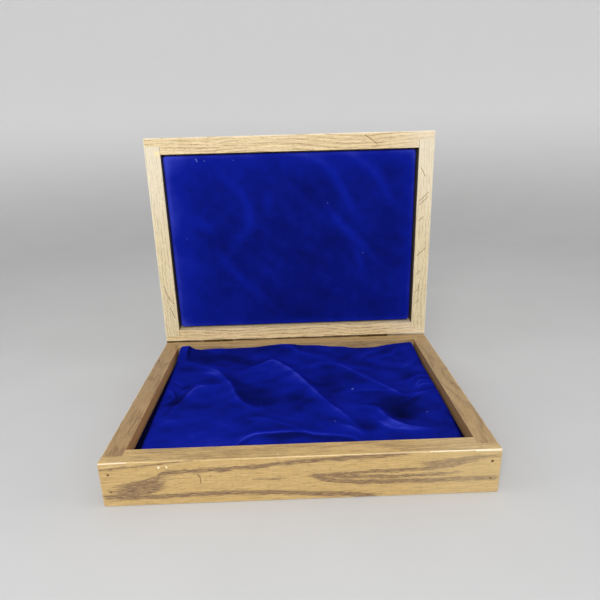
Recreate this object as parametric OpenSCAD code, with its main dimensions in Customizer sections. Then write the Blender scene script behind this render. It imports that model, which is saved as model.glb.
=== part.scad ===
// Coin display tray: a hinged oak box with blue velvet over foam in its base and in its lid.
// The origin is the centre of the base's underside. +X is to the right and +Y to the back.
// The lid is drawn standing open, where the chamfers at the back of the lid and the base meet.

/* [Box] */
// Outside width
box_w = 350; // [300:1:420]
// Outside depth from front to back
box_d = 264; // [220:1:320]
// Height of the base
base_h = 45; // [42:1:60]
// Height of the lid
lid_h = 22; // [21:0.5:30]
// Thickness of the oak boards
board_t = 19; // [17:0.5:22]
// Angle by which the lid stands open
open_angle = 90; // [0:1:90]

/* [Joinery] */
// Chamfer along the outside edges
edge_ease = 0.8; // [0.3:0.1:1.2]
// Thickness of the bottom panel
bottom_t = 6; // [4:0.5:9]
// Thickness of the lid's top panel
top_t = 5; // [4:0.5:6]
// How far each panel laps into the boards
panel_lap = 7; // [5:0.5:8]
// Radius of the nails through the corner joints
brad_r = 0.7; // [0.5:0.05:0.9]
// Length of the nails through the corner joints
brad_len = 32; // [25:1:40]
// Depth at which the nail heads are set below the wood
brad_set = 2; // [1:0.25:3]
// Distance from the end of a board to its nails
brad_from_end = 8; // [7:0.5:10]

/* [Hinges] */
// Length of each hinge
hinge_l = 38; // [30:1:50]
// Height of a hinge leaf from the pin's axis
leaf_h = 14; // [13:0.5:15]
// Thickness of a hinge leaf
leaf_t = 1.2; // [1:0.1:1.4]
// Outside radius of the knuckles
barrel_r = 1.7; // [1.6:0.05:2]
// Radius of the hinge pins
pin_r = 0.8; // [0.7:0.05:0.9]
// Distance from the back face in to the pin's axis
pin_inset = 1.2; // [1.1:0.05:1.5]
// Distance from the side of the box to the middle of a hinge
hinge_from_side = 70; // [50:1:90]

/* [Padding] */
// Thickness of the foam in the base
base_foam_t = 25.5; // [20:0.5:26]
// Space that the loose velvet takes above the base's foam
base_velvet_t = 6; // [4:0.5:7]
// Depth of the lid's pad below the lid's rim
lid_recess = 5.5; // [5:0.25:7]
// Thickness of the velvet
velvet_t = 1; // [0.6:0.1:1.5]
// Thickness of the card behind the lid's foam
card_t = 2; // [1:0.5:3]
// Gap all round the lid's pad
lid_pad_gap = 1.8; // [1:0.1:3]

/* [Hidden] */

$fn = 48;
LEFT = -1;
RIGHT = 1;
FRONT = -1;
BACK = 1;
oak = [0.74, 0.62, 0.42];
side_oak = [0.64, 0.54, 0.39];
lid_oak = [0.78, 0.68, 0.49];
ply = [0.80, 0.68, 0.48];
steel = [0.42, 0.42, 0.44];
brass = [0.80, 0.64, 0.32];
foam = [0.93, 0.91, 0.82];
card = [0.72, 0.66, 0.55];
velvet = [0.07, 0.09, 0.52];

over = 1;                               // how far a cutter runs past the face that it cuts
fit = 0.02;                             // radial room between a nail or a screw and its hole
panel_fit = 0.2;                        // gap round a panel in its rabbet
rim_gap = 0.3;                          // gap between the rims when the lid is shut
stop_gap = 0.3;                         // gap between the back chamfers when the lid is open
rabbet_d = board_t / 2;                 // depth of the corner rabbets in the long boards
back_chamfer = pin_inset + stop_gap / sqrt(2) - rim_gap / 2;

pin_y = box_d / 2 - pin_inset;
pin_z = base_h + rim_gap / 2;
lid_z = base_h + rim_gap;               // the lid's rim when it is shut
lid_top_z = lid_z + lid_h;
inside_w = box_w - 2 * board_t;
inside_d = box_d - 2 * board_t;
panel_w = inside_w + 2 * panel_lap;
panel_d = inside_d + 2 * panel_lap;

brad_head_r = 1.05;
brad_head_h = 1;
brad_point = 2;
base_brad_z = [base_h - 12, base_h - 30];
lid_brad_z = [lid_z + 6, lid_z + 14];
panel_brad_r = 0.6;
panel_brad_len = 18;
panel_brad_head_r = 1.2;
panel_brad_sunk = 0.2;

knuckles = 5;
knuckle_gap = 0.3;
knuckle_l = (hinge_l - (knuckles - 1) * knuckle_gap) / knuckles;
knuckle_room = 0.3;                     // between a knuckle and what turns past it
running_fit = 0.05;                     // radial room between a pin and the knuckles that turn on it
leaf_fit = 0.15;                        // gap round a leaf in its mortise
screw_r = 1.1;
screw_head_r = 2.3;
screw_len = 10;
screw_spots = [[-13, 6], [0, 10.5], [13, 6]];   // along the leaf, and away from the pin's axis

foam_fit = 0.5;                         // gap round the pads in the base
base_foam_z = bottom_t;
base_velvet_z = base_foam_z + base_foam_t;
hem_w = 15;                             // width of the velvet that is turned in behind the lid's card
pad_corner_r = 3;
lid_pad_w = inside_w - 2 * lid_pad_gap;
lid_pad_d = inside_d - 2 * lid_pad_gap;
lid_pad_z = lid_z + lid_recess;
lid_hem_z = lid_top_z - top_t - velvet_t;
lid_card_z = lid_hem_z - card_t;

// Turns the lid's pieces from shut, as they are drawn, to where the lid stands open.
module open_lid() {
    translate([0, pin_y, pin_z])
        rotate([-open_angle, 0, 0])
            translate([0, -pin_y, -pin_z])
                children();
}

// ---- Wood ----

// Outline of a box seen from one side, with a chamfer at each corner: lower left, lower right,
// upper right and upper left.
module chamfered_outline(w, h, lower_left, lower_right, upper_right, upper_left) {
    polygon([
        [-w / 2 + lower_left, 0], [w / 2 - lower_right, 0],
        [w / 2, lower_right], [w / 2, h - upper_right],
        [w / 2 - upper_right, h], [-w / 2 + upper_left, h],
        [-w / 2, h - upper_left], [-w / 2, lower_left]
    ]);
}

// The outside shape of the base or the lid, with every outside edge eased.
module eased_block(h, low_back, high_back) {
    e = edge_ease;
    intersection() {
        linear_extrude(h)
            translate([0, -box_d / 2])
                chamfered_outline(box_w, box_d, e, e, e, e);
        rotate([90, 0, 0])
            translate([0, 0, -box_d / 2])
                linear_extrude(box_d)
                    chamfered_outline(box_w, h, e, e, e, e);
        rotate([90, 0, 90])
            translate([0, 0, -box_w / 2])
                linear_extrude(box_w)
                    chamfered_outline(box_d, h, e, low_back, high_back, e);
    }
}

module base_block() {
    eased_block(base_h, edge_ease, back_chamfer);
}

module lid_block() {
    translate([0, 0, lid_z])
        eased_block(lid_h, back_chamfer, edge_ease);
}

// A front or back board, as wide as the box, with both ends rabbeted for the side boards.
module long_board_blank(end, z, h) {
    difference() {
        translate([-box_w / 2, end == BACK ? box_d / 2 - board_t : -box_d / 2, z])
            cube([box_w, board_t, h]);
        for (side = [LEFT, RIGHT])
            translate([
                side == RIGHT ? box_w / 2 - board_t : -box_w / 2 - over,
                end == BACK ? box_d / 2 - board_t - over : -box_d / 2 + rabbet_d,
                z - over
            ])
                cube([board_t + over, board_t - rabbet_d + over, h + 2 * over]);
    }
}

// A side board, whose ends sit in the rabbets of the long boards.
module side_board_blank(side, z, h) {
    translate([
        side == RIGHT ? box_w / 2 - board_t : -box_w / 2,
        -box_d / 2 + rabbet_d,
        z
    ])
        cube([board_t, box_d - 2 * rabbet_d, h]);
}

// The room for a panel in the rabbet that runs round the inside of the boards.
module panel_room(z, t) {
    translate([-panel_w / 2 - panel_fit, -panel_d / 2 - panel_fit, z])
        cube([panel_w + 2 * panel_fit, panel_d + 2 * panel_fit, t]);
}

module panel(z, t) {
    translate([-panel_w / 2, -panel_d / 2, z])
        cube([panel_w, panel_d, t]);
}

module base_panel_room() {
    panel_room(-over, bottom_t + over);
}

module lid_panel_room() {
    panel_room(lid_top_z - top_t, top_t + over);
}

// ---- Nails ----

// Puts a nail, drawn along +Z from its entry, at each place through the front or back corners.
module at_corner_brads(end, heights) {
    for (side = [LEFT, RIGHT], z = heights)
        translate([side * (box_w / 2 - brad_from_end), end * box_d / 2, z])
            rotate([90 * end, 0, 0])
                children();
}

module corner_brad() {
    translate([0, 0, brad_set])
        cylinder(h = brad_head_h, r = brad_head_r);
    translate([0, 0, brad_set + brad_head_h])
        cylinder(h = brad_len - brad_head_h - brad_point, r = brad_r);
    translate([0, 0, brad_set + brad_len - brad_point])
        cylinder(h = brad_point, r1 = brad_r, r2 = brad_r / 4);
}

// The hole that a nail leaves, open at the face above its set head.
module corner_brad_hole() {
    translate([0, 0, -over])
        cylinder(h = over + brad_set + brad_head_h, r = brad_head_r + fit);
    cylinder(h = brad_set + brad_len + fit, r = brad_r + fit);
}

// Puts a nail, drawn along +Z from the underside, at each place round the bottom panel.
module at_panel_brads() {
    row_y = panel_d / 2 - panel_lap / 2;
    row_x = panel_w / 2 - panel_lap / 2;
    for (end = [FRONT, BACK], across = [-3, -1, 1, 3])
        translate([across * panel_w / 8, end * row_y, 0])
            children();
    for (side = [LEFT, RIGHT], along = [-1, 0, 1])
        translate([side * row_x, along * panel_d / 3, 0])
            children();
}

module panel_brad() {
    translate([0, 0, panel_brad_sunk])
        cylinder(h = 0.8, r = panel_brad_head_r);
    translate([0, 0, panel_brad_sunk + 0.8])
        cylinder(h = panel_brad_len - brad_point, r = panel_brad_r);
    translate([0, 0, panel_brad_sunk + 0.8 + panel_brad_len - brad_point])
        cylinder(h = brad_point, r1 = panel_brad_r, r2 = panel_brad_r / 4);
}

module panel_brad_hole() {
    translate([0, 0, -over])
        cylinder(h = over + panel_brad_sunk + 0.8, r = panel_brad_head_r + fit);
    cylinder(h = panel_brad_sunk + 0.8 + panel_brad_len + fit, r = panel_brad_r + fit);
}

// ---- Hinges ----

// Puts a hinge part at one hinge. There the origin is the middle of the pin's axis.
module at_hinge(side) {
    translate([side * (box_w / 2 - hinge_from_side), pin_y, pin_z])
        children();
}

// A cylinder along X, from x0.
module along_x(x0, length, r) {
    translate([x0, 0, 0])
        rotate([0, 90, 0])
            cylinder(h = length, r = r);
}

function knuckle_x(i) = -hinge_l / 2 + i * (knuckle_l + knuckle_gap);

// Places screws, drawn along +Z from the head's outer face, in a leaf that hangs from the pin.
module at_screws() {
    for (spot = screw_spots)
        translate([spot[0], pin_inset, -spot[1]])
            rotate([90, 0, 0])
                children();
}

module screw() {
    difference() {
        union() {
            cylinder(h = leaf_t, r1 = screw_head_r, r2 = screw_r);
            translate([0, 0, leaf_t])
                cylinder(h = screw_len - leaf_t - brad_point, r = screw_r);
            translate([0, 0, screw_len - brad_point])
                cylinder(h = brad_point, r1 = screw_r, r2 = screw_r / 4);
        }
        cube([2 * screw_head_r + over, 0.6, 1], center = true);
    }
}

module screw_hole() {
    cylinder(h = screw_len + fit, r = screw_r + fit);
}

// A leaf hanging from the pin, with every second knuckle from the one given.
module leaf(first, bore_r) {
    difference() {
        union() {
            translate([-hinge_l / 2, pin_inset - leaf_t, -leaf_h])
                cube([hinge_l, leaf_t, leaf_h]);
            for (i = [first : 2 : knuckles - 1])
                along_x(knuckle_x(i), knuckle_l, barrel_r);
        }
        for (i = [1 - first : 2 : knuckles - 1])
            along_x(knuckle_x(i) - knuckle_gap, knuckle_l + 2 * knuckle_gap,
                    barrel_r + knuckle_room);
        along_x(-hinge_l / 2 - over, hinge_l + 2 * over, bore_r);
        at_screws() {
            translate([0, 0, -fit])
                cylinder(h = leaf_t + 2 * fit, r1 = screw_head_r + fit, r2 = screw_r + fit);
        }
    }
}

// The mortise for a leaf and its knuckles, with the screws' pilot holes.
module leaf_mortise() {
    translate([-hinge_l / 2 - leaf_fit, pin_inset - leaf_t, -leaf_h - leaf_fit])
        cube([hinge_l + 2 * leaf_fit, leaf_t + over, leaf_h + leaf_fit + over]);
    along_x(-hinge_l / 2 - knuckle_room, hinge_l + 2 * knuckle_room, barrel_r + knuckle_room);
    at_screws()
        screw_hole();
}

module base_leaf(side) {
    at_hinge(side)
        leaf(0, pin_r);
}

module base_leaf_mortise(side) {
    at_hinge(side)
        leaf_mortise();
}

// The lid's leaf stands up from the pin when the lid is shut.
module lid_leaf(side) {
    at_hinge(side)
        mirror([0, 0, 1])
            leaf(1, pin_r + running_fit);
}

module lid_leaf_mortise(side) {
    at_hinge(side)
        mirror([0, 0, 1])
            leaf_mortise();
}

module hinge_pin(side) {
    at_hinge(side)
        along_x(-hinge_l / 2, hinge_l, pin_r);
}

module base_leaf_screws(side) {
    at_hinge(side)
        at_screws()
            screw();
}

module lid_leaf_screws(side) {
    at_hinge(side)
        mirror([0, 0, 1])
            at_screws()
                screw();
}

// ---- Base ----

module base_long_board(end) {
    difference() {
        intersection() {
            base_block();
            long_board_blank(end, 0, base_h);
        }
        base_panel_room();
        at_corner_brads(end, base_brad_z)
            corner_brad_hole();
        at_panel_brads()
            panel_brad_hole();
        if (end == BACK)
            for (side = [LEFT, RIGHT])
                base_leaf_mortise(side);
    }
}

module base_side_board(side) {
    difference() {
        intersection() {
            base_block();
            side_board_blank(side, 0, base_h);
        }
        base_panel_room();
        for (end = [FRONT, BACK])
            at_corner_brads(end, base_brad_z)
                corner_brad_hole();
        at_panel_brads()
            panel_brad_hole();
    }
}

module base_front_board() {
    color(oak) base_long_board(FRONT);
}

module base_back_board() {
    color(oak) base_long_board(BACK);
}

module base_left_board() {
    color(side_oak) base_side_board(LEFT);
}

module base_right_board() {
    color(side_oak) base_side_board(RIGHT);
}

module base_bottom_panel() {
    color(ply)
        difference() {
            panel(0, bottom_t);
            at_panel_brads()
                panel_brad_hole();
        }
}

module base_front_brads() {
    color(steel)
        at_corner_brads(FRONT, base_brad_z)
            corner_brad();
}

module base_back_brads() {
    color(steel)
        at_corner_brads(BACK, base_brad_z)
            corner_brad();
}

module bottom_panel_brads() {
    color(steel)
        at_panel_brads()
            panel_brad();
}

// A pad that fills the base from side to side.
module base_pad(z, t) {
    translate([-inside_w / 2 + foam_fit, -inside_d / 2 + foam_fit, z])
        cube([inside_w - 2 * foam_fit, inside_d - 2 * foam_fit, t]);
}

module base_foam_pad() {
    color(foam) base_pad(base_foam_z, base_foam_t);
}

module base_velvet() {
    color(velvet) base_pad(base_velvet_z, base_velvet_t);
}

// ---- Lid ----

module lid_long_board(end) {
    open_lid()
        difference() {
            intersection() {
                lid_block();
                long_board_blank(end, lid_z, lid_h);
            }
            lid_panel_room();
            at_corner_brads(end, lid_brad_z)
                corner_brad_hole();
            if (end == BACK)
                for (side = [LEFT, RIGHT])
                    lid_leaf_mortise(side);
        }
}

module lid_side_board(side) {
    open_lid()
        difference() {
            intersection() {
                lid_block();
                side_board_blank(side, lid_z, lid_h);
            }
            lid_panel_room();
            for (end = [FRONT, BACK])
                at_corner_brads(end, lid_brad_z)
                    corner_brad_hole();
        }
}

module lid_front_board() {
    color(lid_oak) lid_long_board(FRONT);
}

module lid_back_board() {
    color(lid_oak) lid_long_board(BACK);
}

module lid_left_board() {
    color(lid_oak) lid_side_board(LEFT);
}

module lid_right_board() {
    color(lid_oak) lid_side_board(RIGHT);
}

module lid_top_panel() {
    color(ply)
        open_lid()
            panel(lid_top_z - top_t, top_t);
}

module lid_front_brads() {
    color(steel)
        open_lid()
            at_corner_brads(FRONT, lid_brad_z)
                corner_brad();
}

module lid_back_brads() {
    color(steel)
        open_lid()
            at_corner_brads(BACK, lid_brad_z)
                corner_brad();
}

// A plate of the lid pad's outline, drawn in from its edge by the margin.
module pad_plate(z, t, margin) {
    w = lid_pad_w - 2 * margin;
    d = lid_pad_d - 2 * margin;
    r = max(pad_corner_r - margin, 0.5);
    translate([0, 0, z])
        linear_extrude(t)
            union() {
                square([w - 2 * r, d], center = true);
                square([w, d - 2 * r], center = true);
                for (x = [-1, 1], y = [-1, 1])
                    translate([x * (w / 2 - r), y * (d / 2 - r)])
                        circle(r = r);
            }
}

module lid_pad_card() {
    color(card)
        open_lid()
            pad_plate(lid_card_z, card_t, velvet_t);
}

module lid_pad_foam() {
    color(foam)
        open_lid()
            pad_plate(lid_pad_z + velvet_t, lid_card_z - lid_pad_z - velvet_t, velvet_t);
}

// The velvet over the lid's foam, with its edges turned in behind the card.
module lid_velvet() {
    color(velvet)
        open_lid()
            difference() {
                pad_plate(lid_pad_z, lid_hem_z + velvet_t - lid_pad_z, 0);
                pad_plate(lid_pad_z + velvet_t, lid_hem_z - lid_pad_z - velvet_t, velvet_t);
                pad_plate(lid_hem_z - over, velvet_t + 2 * over, hem_w);
            }
}

// ---- Hinge nodes ----

module left_hinge_base_leaf() {
    color(brass) base_leaf(LEFT);
}

module left_hinge_lid_leaf() {
    color(brass) open_lid() lid_leaf(LEFT);
}

module left_hinge_pin() {
    color(brass) hinge_pin(LEFT);
}

module left_hinge_base_screws() {
    color(brass) base_leaf_screws(LEFT);
}

module left_hinge_lid_screws() {
    color(brass) open_lid() lid_leaf_screws(LEFT);
}

module right_hinge_base_leaf() {
    color(brass) base_leaf(RIGHT);
}

module right_hinge_lid_leaf() {
    color(brass) open_lid() lid_leaf(RIGHT);
}

module right_hinge_pin() {
    color(brass) hinge_pin(RIGHT);
}

module right_hinge_base_screws() {
    color(brass) base_leaf_screws(RIGHT);
}

module right_hinge_lid_screws() {
    color(brass) open_lid() lid_leaf_screws(RIGHT);
}

base_front_board();
base_back_board();
base_left_board();
base_right_board();
base_bottom_panel();
base_front_brads();
base_back_brads();
bottom_panel_brads();
base_foam_pad();
base_velvet();
lid_front_board();
lid_back_board();
lid_left_board();
lid_right_board();
lid_top_panel();
lid_front_brads();
lid_back_brads();
lid_pad_card();
lid_pad_foam();
lid_velvet();
left_hinge_base_leaf();
left_hinge_lid_leaf();
left_hinge_pin();
left_hinge_base_screws();
left_hinge_lid_screws();
right_hinge_base_leaf();
right_hinge_lid_leaf();
right_hinge_pin();
right_hinge_base_screws();
right_hinge_lid_screws();
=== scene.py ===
"""A coin display tray: an oak box with a hinged lid, lined with blue velvet in its base and its lid."""

import math

import bmesh
import bpy
import numpy as np
from mathutils import Matrix, Vector, noise


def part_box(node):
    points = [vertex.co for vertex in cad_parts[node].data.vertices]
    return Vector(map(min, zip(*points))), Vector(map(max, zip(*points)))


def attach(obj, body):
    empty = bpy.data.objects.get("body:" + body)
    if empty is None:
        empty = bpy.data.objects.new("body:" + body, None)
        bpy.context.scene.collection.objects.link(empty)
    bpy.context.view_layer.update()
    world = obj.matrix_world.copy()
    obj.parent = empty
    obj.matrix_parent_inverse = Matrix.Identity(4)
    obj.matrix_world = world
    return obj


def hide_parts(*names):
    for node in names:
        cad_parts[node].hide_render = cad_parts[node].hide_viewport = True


MM = 0.001

# The camera: where it stands, and how it is turned, in degrees.
CAMERA_PLACE = (-0.0024, -0.4994, 0.3082)
CAMERA_DOWN = 18.308
CAMERA_YAW = 0.841
CAMERA_ROLL = -1.6
CAMERA_LENS = 30.095
SENSOR_WIDTH = 36

# The wood's faces, in millimetres, as the marks on them need: the base's front, back and rim, the inside
# of both frames' side boards, the open lid's rim, and its lower and upper edge.
FRONT = -132
BACK = 132
RIM = 45
SIDE_WALL = 156
LID_RIM = 131
LID_EDGES = (43.95, 307.95)
# The brads: how far they are from the middle, their heights in the base, and their places in the depth
# of the open lid.
BRAD_X = 167
BASE_BRADS = (15, 33)
LID_BRADS = (136.95, 144.95)
# How far the wear and the painted edge highlight reach from the wood's edges, and how far the foam's edges
# are rounded.
ARRIS_WEAR_AND_HIGHLIGHT = 1.6
FOAM_ROUND = 2.6

# The base's velvet, in millimetres, from the middle of the base. Heights are above the foam.
VELVET_T = 1.2
VELVET_LEVEL = 4.6
VELVET_STEP = 1.4
VELVET_ROLL = 5.0
# Gap between the velvet's rolled edge and the side boards, as places along Y and gaps.
LEFT_GAP = [(-115, 7.5), (-50, 5.5), (20, 4), (70, 2), (115, 1)]
RIGHT_GAP = [(-115, 4.5), (-65, 2), (-20, 1), (115, 0.5)]
# How high the velvet is bunched against the back board, as places along X and heights.
BACK_RISE = [
    (-155, 8), (-140, 8.5), (-130, 6), (-110, 6.5), (-20, 8.5), (5, 8),
    (30, 6), (60, 3), (85, 1), (110, 2), (140, 6.5), (155, 7),
]
# Each crease: its line, its height, its width on the left and right of that line, the painted light and shade
# that it lays on the pile on its left and right, and how bright the painted highlight on its crest is.
CREASES = [
    ([(-140, 80), (-105, 55), (-80, 20), (-65, -20), (-45, -40), (-30, -35)],
     5.0, (14, 10), (-0.30, 0.05), 0.28),
    ([(-120, 50), (-100, 40), (-80, 15)], 1.8, (5, 4), (0.0, 0.0), 0.32),
    ([(-135, -45), (-120, -5), (-110, 10), (-85, 15)], 4.5, (6, 12), (-0.45, 0.12), 0.36),
    ([(-130, -5), (-115, 15), (-105, 20)], 1.8, (4, 4), (-0.20, 0.0), 0.30),
    ([(-145, 30), (-130, 15)], 2.6, (4, 4), (0.0, -0.35), 0.30),
    ([(-150, 10), (-140, 0), (-135, -10)], 3.0, (5, 4), (-0.35, -0.10), 0.35),
    ([(-145, -20), (-140, -20), (-135, -10)], 2.4, (4, 4), (0.0, -0.35), 0.30),
    ([(-145, -65), (-120, -55), (-100, -55)], 1.4, (10, 8), (0.0, 0.05), 0.12),
    ([(-65, 45), (-40, 65), (-25, 65), (0, 25), (30, -35), (55, -75)], 7.0, (8, 20), (-0.40, 0.16), 0.43),
    ([(35, -75), (50, -85), (60, -95)], 2.6, (6, 6), (-0.10, 0.0), 0.32),
    ([(-60, 120), (-10, 105), (5, 90), (35, 80)], 2.6, (8, 8), (-0.15, 0.0), 0.25),
    ([(-60, -60), (-35, -60), (0, -80)], 1.8, (8, 7), (0.0, -0.10), 0.25),
    ([(-65, -110), (-50, -95), (-35, -90), (0, -90), (15, -95), (45, -100), (60, -110)],
     4.8, (10, 6), (0.06, -0.60), 0.38),
    ([(20, 60), (40, 60), (60, 40), (90, 0), (110, -25), (125, -25), (155, -10)],
     6.0, (12, 14), (-0.14, -0.06), 0.42),
    ([(50, -10), (75, -10), (105, -20)], 1.8, (4, 5), (0.0, -0.20), 0.28),
    ([(105, -35), (115, -35), (130, -25)], 1.4, (4, 5), (0.0, -0.25), 0.24),
    ([(65, -40), (80, -50), (90, -75), (105, -85), (125, -85)], 6.0, (7, 8), (-0.60, 0.20), 0.40),
    ([(70, -60), (85, -85), (100, -90), (115, -90)], 2.4, (5, 7), (0.08, -0.12), 0.35),
    ([(125, 10), (140, 20), (155, 20)], 2.2, (4, 3), (0.0, -0.25), 0.30),
    ([(130, -5), (140, 10), (155, 10)], 2.2, (4, 3), (0.0, -0.25), 0.30),
    ([(130, -10), (140, 0), (155, 0)], 1.8, (3, 3), (0.0, -0.20), 0.25),
    ([(75, 65), (90, 85), (115, 100)], 2.5, (8, 7), (0.0, -0.14), 0.22),
    ([(90, 70), (120, 80), (130, 95)], 2.5, (7, 7), (0.0, -0.12), 0.26),
    ([(110, 50), (125, 45), (150, 70)], 1.8, (8, 8), (-0.10, 0.0), 0.18),
    ([(-140, 115), (-140, 90)], 7.5, (2.2, 13), (-0.80, 0.15), 0.10),
    ([(-135, 115), (-135, 95)], 1.6, (2, 2), (-0.30, -0.10), 0.15),
    ([(-130, 115), (-130, 100)], 1.2, (2, 2), (-0.30, -0.10), 0.12),
]
# Each hollow: its middle, its depth, its reach along X and Y, and how much painted shade it lays on the pile.
HOLLOWS = [
    ((105, -50), 3.5, 17, 20, 0.70), ((35, 5), 2.0, 16, 30, 0.30), ((-40, -15), 1.8, 20, 22, 0.35),
    ((-130, -20), 2.5, 8, 9, 0.50), ((-85, 90), 1.5, 26, 18, 0.28), ((65, -75), 1.5, 12, 12, 0.35),
    ((0, -20), 1.5, 14, 16, 0.25), ((-50, -80), 1.0, 16, 9, 0.15), ((-125, 15), 1.5, 7, 7, 0.40),
    ((-10, 100), 1.0, 18, 8, 0.20), ((60, 90), 1.0, 16, 10, 0.15), ((125, 20), 1.5, 12, 10, 0.20),
]
# Specks of lint on the base's velvet: each place and size.
LINT = [
    ((60, -4, 0), 0.9), ((61, -3, 0), 0.7), ((130, -55, 0), 0.6), ((35, -70, 0), 0.5), ((-40, -30, 0), 0.4),
]
# Highest point of the velvet above the foam: the lid's pad comes down just over it.
VELVET_TOP = 16.2
# How softly the folds flatten out under that.
VELVET_SOFT_TOP = 0.7

# The lid's pad, in millimetres: its cloth, its corners, with one looser than the rest, how its face rounds
# over, how far that face is crowned, and how far its left edge leans out at its top.
PAD_CLOTH = 0.8
PAD_CORNER = 4.0
PAD_LOOSE_CORNER = 5.0
PAD_ROUND = 2.2
PAD_CROWN = 0.6
PAD_LEAN = 1.2
# How many cells its face has, across and up.
PAD_GRID = (124, 90)
# Specks of lint on the lid's pad: each place and size.
LID_LINT = [
    ((-115, 0, 282), 1.2), ((-114, 0, 280), 1.0), ((-105, 0, 280), 0.8), ((45, 0, 225), 0.7),
    ((90, 0, 160), 0.6), ((-70, 0, 280), 0.6), ((-135, 0, 185), 0.5),
]
# The bands brushed into the lid's pad: each line, with X across and Z up it, its width and its lightness.
LID_BANDS = [
    ([(10, 285), (45, 270), (70, 230), (80, 210)], 6, 0.26),
    ([(70, 285), (100, 265), (130, 220)], 6, 0.26),
    ([(45, 220), (65, 195), (105, 155)], 5, 0.28),
    ([(80, 170), (90, 135)], 5, 0.20),
    ([(-90, 270), (-60, 235), (-55, 200), (-90, 155)], 6, 0.22),
    ([(-95, 165), (-70, 130), (-20, 85)], 6, 0.20),
    ([(-30, 245), (-30, 205)], 7, 0.12),
    ([(-130, 220), (-100, 190)], 6, 0.12),
]

# The figure on the face of the front board: each dark streak as its middle line, with X along the
# board and Z up it, and its half height, in millimetres.
STREAKS = [
    ([(-165, 14), (-145, 17), (-120, 25)], 8.0),
    ([(-125, 28), (-115, 33), (-65, 35), (5, 40), (95, 44)], 2.0),
    ([(-175, 13), (-150, 9), (-80, 10), (-40, 9.5), (0, 7), (70, 1)], 2.2),
    ([(-175, 38), (-125, 42), (-95, 45)], 0.8),
    ([(-40, 23), (-15, 23)], 0.8),
    ([(10, 25), (70, 27), (110, 28), (140, 31)], 1.6),
    ([(10, 25), (20, 21), (45, 17), (70, 16), (170, 16)], 2.2),
    ([(20, 25), (45, 22.5), (75, 21), (135, 22.5)], 1.7),
    ([(110, 32), (140, 35), (155, 37)], 3.0),
    ([(150, 38), (175, 38)], 1.2),
]
# The short scratches on the lid's side boards, each from one place to another, with X across and Z up.
STROKES = [
    ((160, 225), (170, 235)), ((160, 220), (170, 230)), ((160, 265), (165, 255)), ((160, 200), (165, 205)),
    ((160, 155), (170, 165)), ((160, 130), (165, 135)), ((160, 105), (165, 115)), ((160, 90), (165, 95)),
    ((-170, 125), (-165, 105)), ((-165, 110), (-160, 100)), ((-165, 95), (-160, 80)),
]

# The floor, in metres: where it starts to curve up, the curve's radius, and how high it goes.
FLOOR_REACH = 1.1
FLOOR_CURVE = 0.6
FLOOR_TOP = 1.4
# How many places go round the floor.
FLOOR_SIDES = 64


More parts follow.
